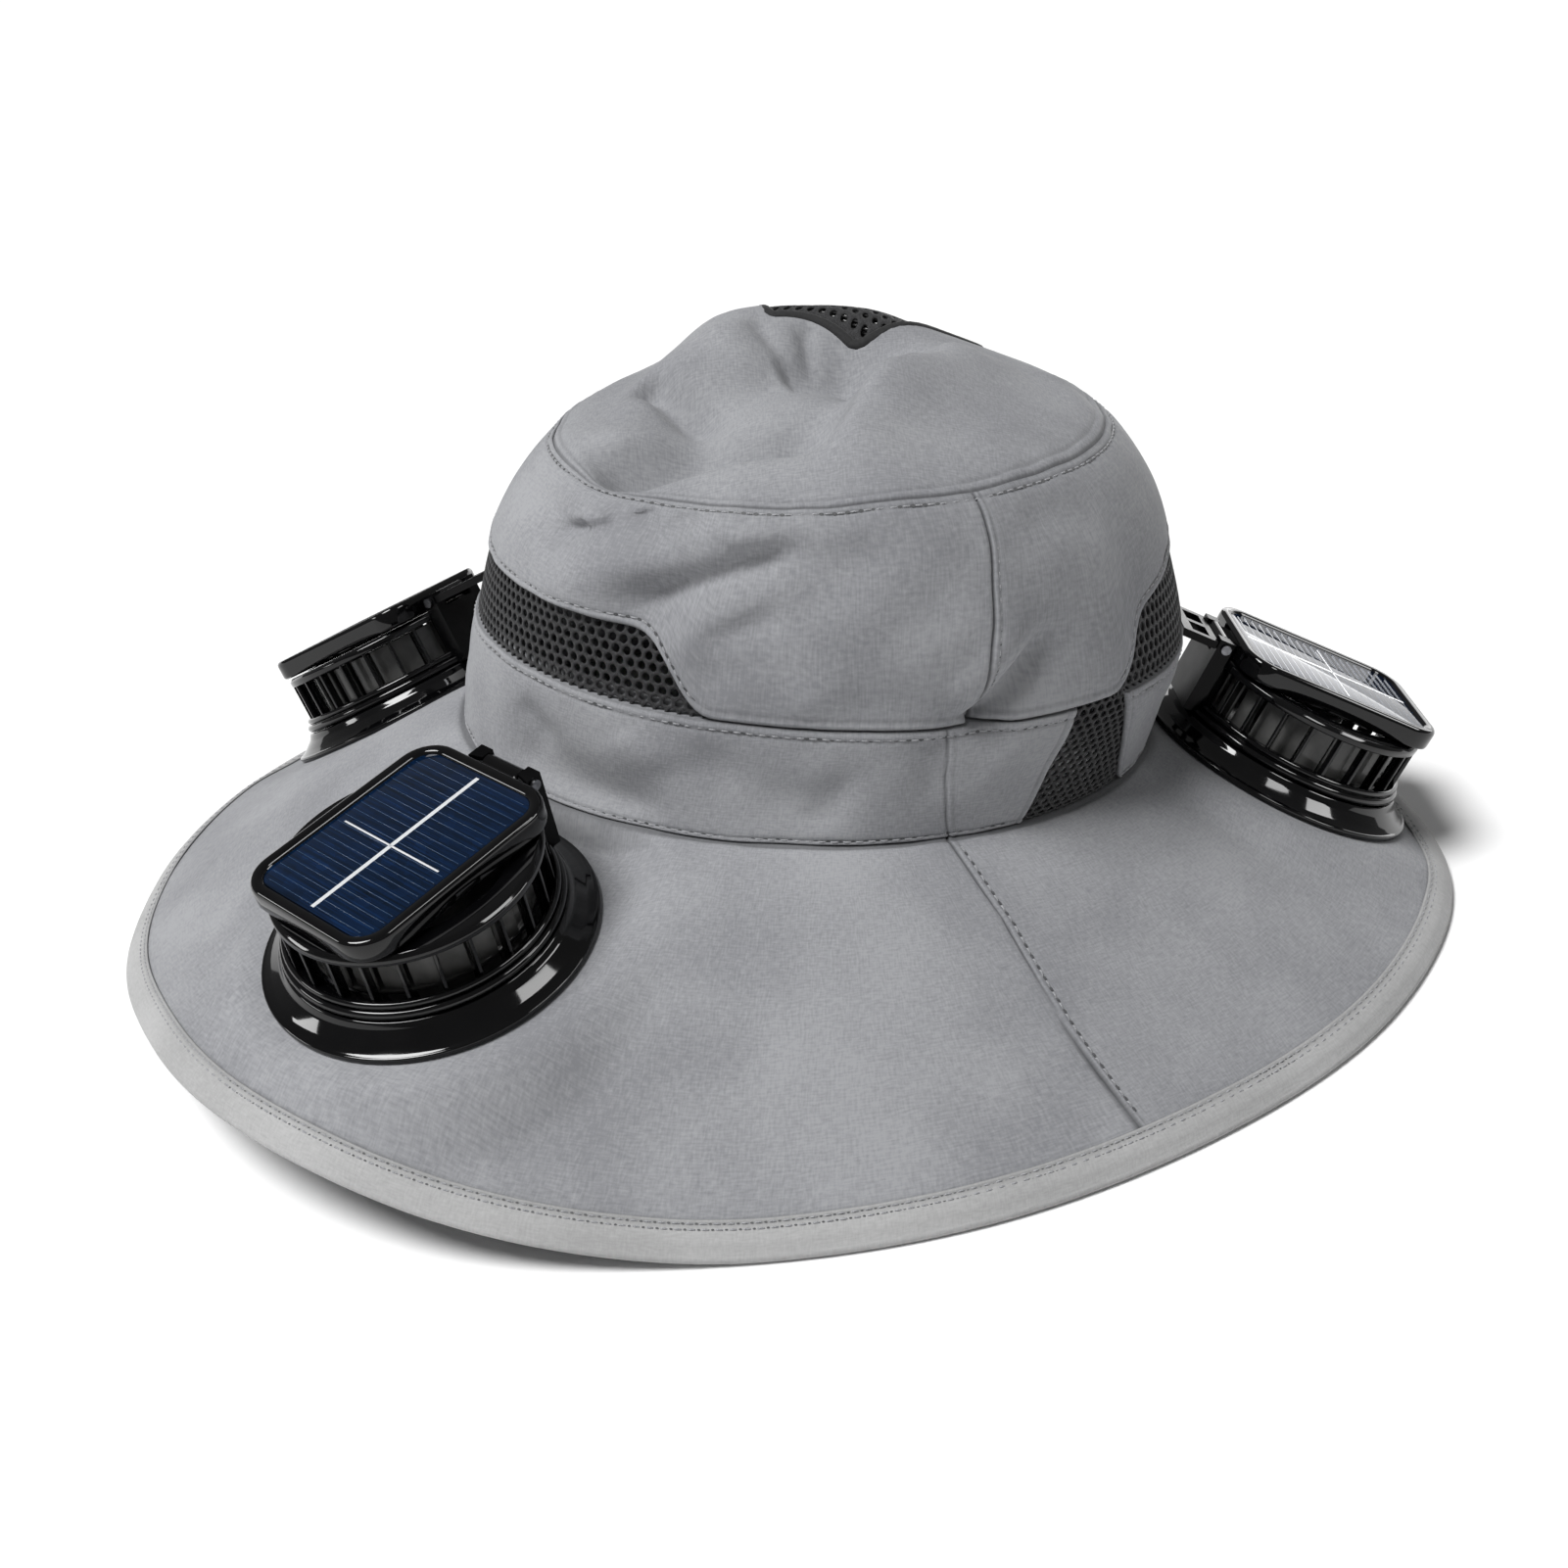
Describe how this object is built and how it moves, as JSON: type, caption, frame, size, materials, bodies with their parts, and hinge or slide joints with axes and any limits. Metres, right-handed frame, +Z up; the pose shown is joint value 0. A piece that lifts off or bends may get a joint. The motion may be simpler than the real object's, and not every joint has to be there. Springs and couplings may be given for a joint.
{
  "type": "solar fan hat",
  "caption": "Wide-brimmed grey cloth sun hat with black mesh vents and round solar-powered fans seated on its brim, each under a hinged solar panel.",
  "frame": {"origin": "on the ground under the middle of the hat's brim, whose binding stands on the ground", "axes": "+Z up out of the top of the crown, +X to the right of the hat's front and along the brim's longer width, -Y to the front"},
  "size_m": [0.3718, 0.3312, 0.1568],
  "materials": {
    "grey_polyester": "matt fine plain weave",
    "grey_binding": "matt folded tape with two rows of stitches",
    "black_net": "knitted net with round holes",
    "black_binding": "matt ribbed tape",
    "gloss_black_plastic": "polished moulding",
    "satin_black_plastic": "satin moulding",
    "grey_steel": "turned",
    "solar_cell_blue": "glossy navy cell under clear resin"
  },
  "bodies": {
    "hat": {"crown_top": "grey_polyester", "crown_side": "grey_polyester", "band": "grey_polyester", "brim": "grey_polyester", "brim_binding": "grey_binding", "side_mesh": "black_net", "band_mesh": "black_net", "top_mesh": "black_net", "vent_binding": "black_binding", "base_flange_1": "gloss_black_plastic", "fan_cage_1": "gloss_black_plastic", "motor_mount_1": "grey_steel", "hinge_post_1": "satin_black_plastic", "hinge_pin_1": "grey_steel", "base_flange_2": "gloss_black_plastic", "fan_cage_2": "gloss_black_plastic", "motor_mount_2": "grey_steel", "hinge_post_2": "satin_black_plastic", "hinge_pin_2": "grey_steel", "crown_clip_2": "satin_black_plastic", "base_flange_3": "gloss_black_plastic", "fan_cage_3": "gloss_black_plastic", "motor_mount_3": "grey_steel", "hinge_post_3": "satin_black_plastic", "hinge_pin_3": "grey_steel", "crown_clip_3": "satin_black_plastic"},
    "panel_1": {"panel_frame_1": "gloss_black_plastic", "solar_cell_1": "solar_cell_blue"},
    "rotor_body_1": {"rotor_1": "gloss_black_plastic"},
    "panel_2": {"panel_frame_2": "gloss_black_plastic", "solar_cell_2": "solar_cell_blue"},
    "rotor_body_2": {"rotor_2": "gloss_black_plastic"},
    "panel_3": {"panel_frame_3": "gloss_black_plastic", "solar_cell_3": "solar_cell_blue"},
    "rotor_body_3": {"rotor_3": "gloss_black_plastic"}
  },
  "joints": [
    {"name": "panel_hinge_1", "type": "hinge", "parent": "hat", "child": "panel_1", "pos_m": [-0.06452, -0.07504, 0.07696], "axis": [-0.7294, 0.6817, 0.0563], "range_deg": [0, 60]},
    {"name": "rotor_spin_1", "type": "hinge", "parent": "hat", "child": "rotor_body_1", "pos_m": [-0.08415, -0.09329, 0.04362], "axis": [-0.102, -0.1897, 0.9765], "continuous": true},
    {"name": "panel_hinge_2", "type": "hinge", "parent": "hat", "child": "panel_2", "pos_m": [0.12458, 0.00558, 0.06259], "axis": [-0.0144, -0.9988, 0.0466], "range_deg": [0, 60]},
    {"name": "rotor_spin_2", "type": "hinge", "parent": "hat", "child": "rotor_body_2", "pos_m": [0.14171, 0.00351, 0.02345], "axis": [0.455, 0.035, 0.8898], "continuous": true},
    {"name": "panel_hinge_3", "type": "hinge", "parent": "hat", "child": "panel_3", "pos_m": [-0.09662, 0.06622, 0.06559], "axis": [0.4879, 0.8707, -0.0616], "range_deg": [0, 60]},
    {"name": "rotor_spin_3", "type": "hinge", "parent": "hat", "child": "rotor_body_3", "pos_m": [-0.11217, 0.07215, 0.02618], "axis": [-0.3838, 0.2773, 0.8808], "continuous": true}
  ]
}
